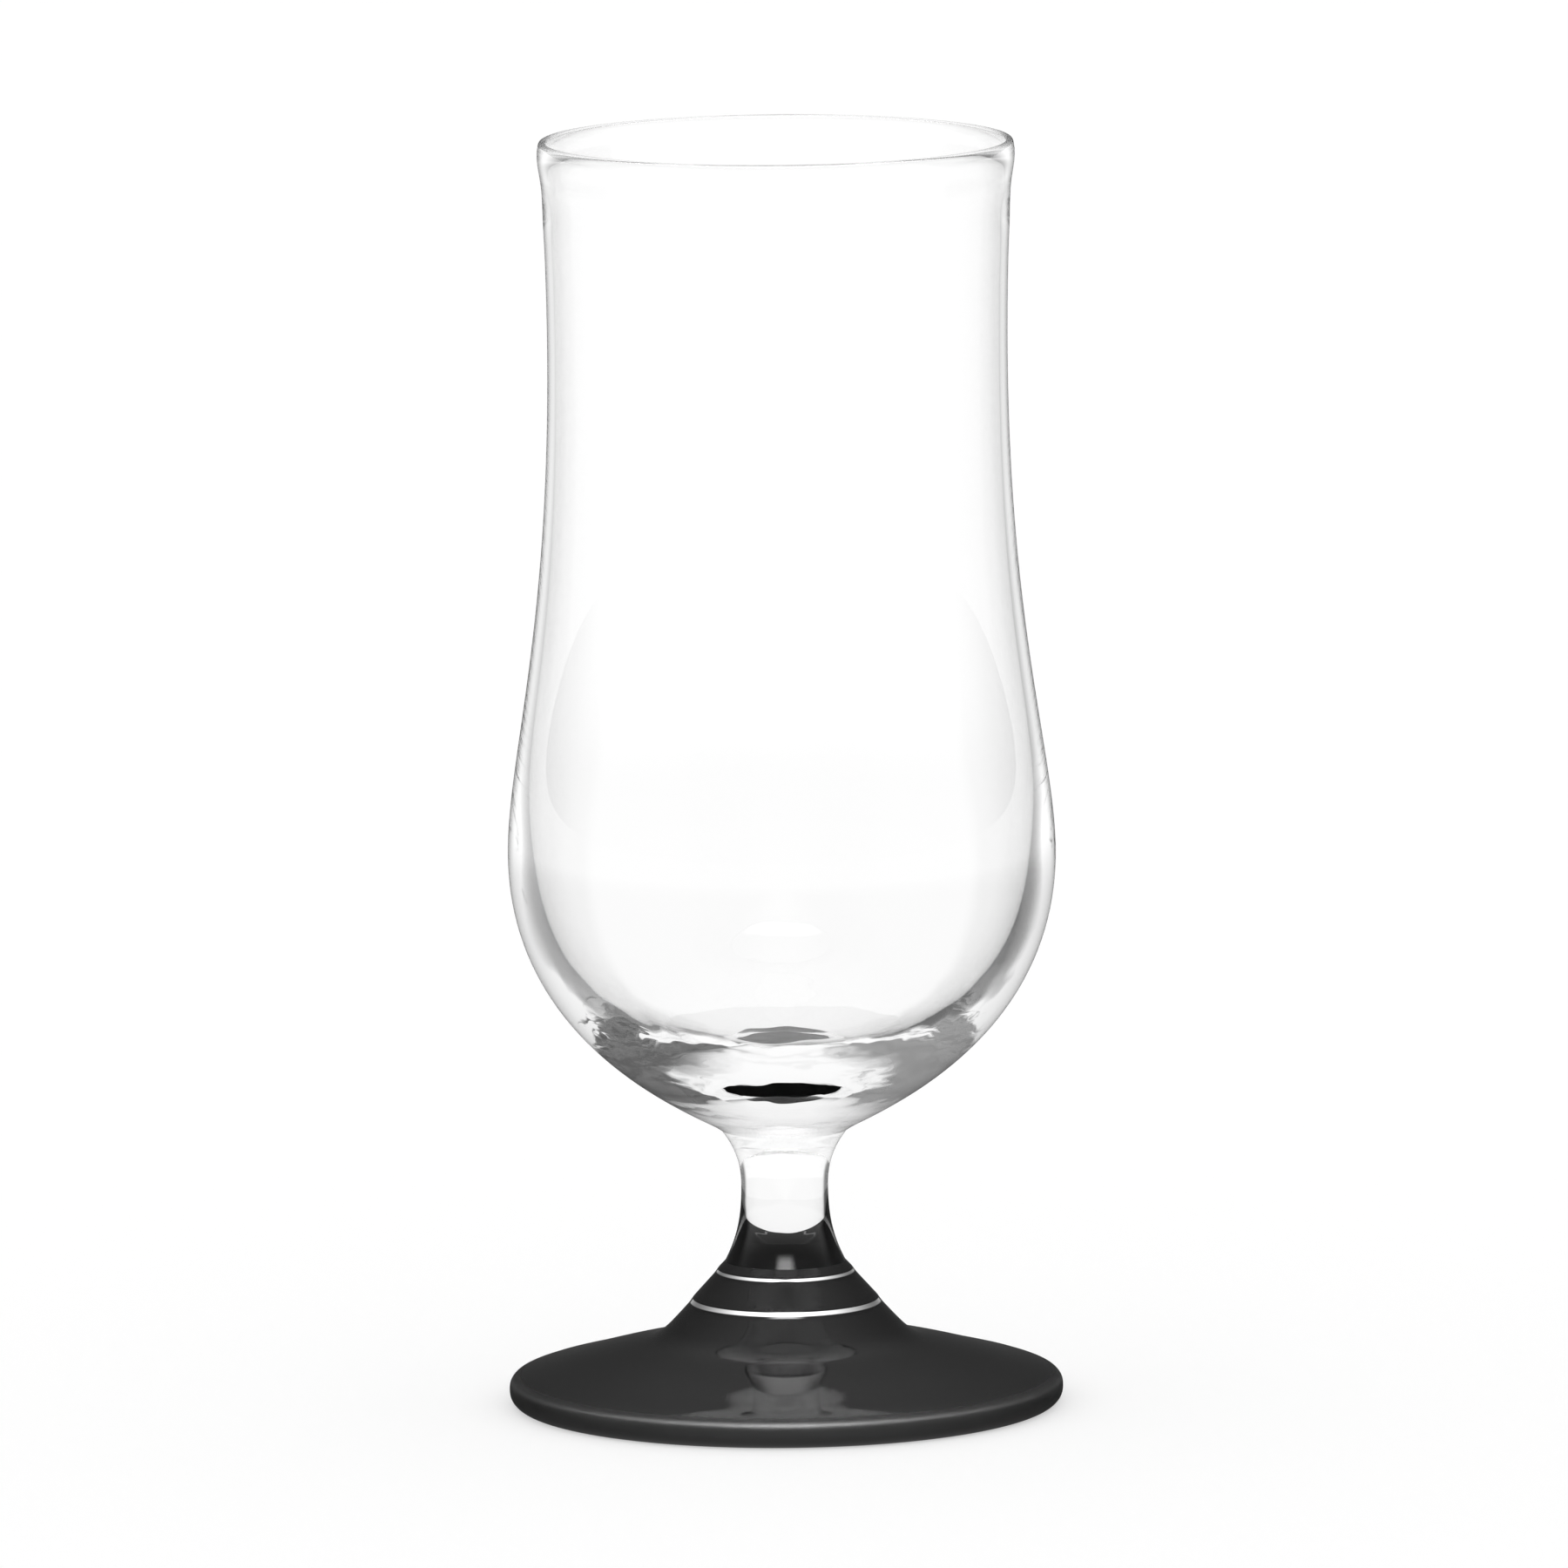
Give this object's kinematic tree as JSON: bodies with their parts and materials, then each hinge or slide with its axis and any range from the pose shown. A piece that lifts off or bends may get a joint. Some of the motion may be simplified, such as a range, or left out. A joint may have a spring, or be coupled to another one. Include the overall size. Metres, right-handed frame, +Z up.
{
  "type": "hurricane glass",
  "caption": "Stemmed hurricane cocktail glass: tall waisted clear bowl on a short clear stem, fused to a stepped black glass foot.",
  "frame": {"origin": "centre of the resting ring, in the plane of the table", "axes": "+Z up along the axis the glass is turned about; X and Y are alike"},
  "size_m": [0.0786, 0.0786, 0.18],
  "materials": {
    "clear_glass": "gloss",
    "black_glass": "gloss"
  },
  "bodies": {
    "root": {"bowl": "clear_glass", "stem": "clear_glass", "foot": "black_glass"}
  },
  "joints": []
}
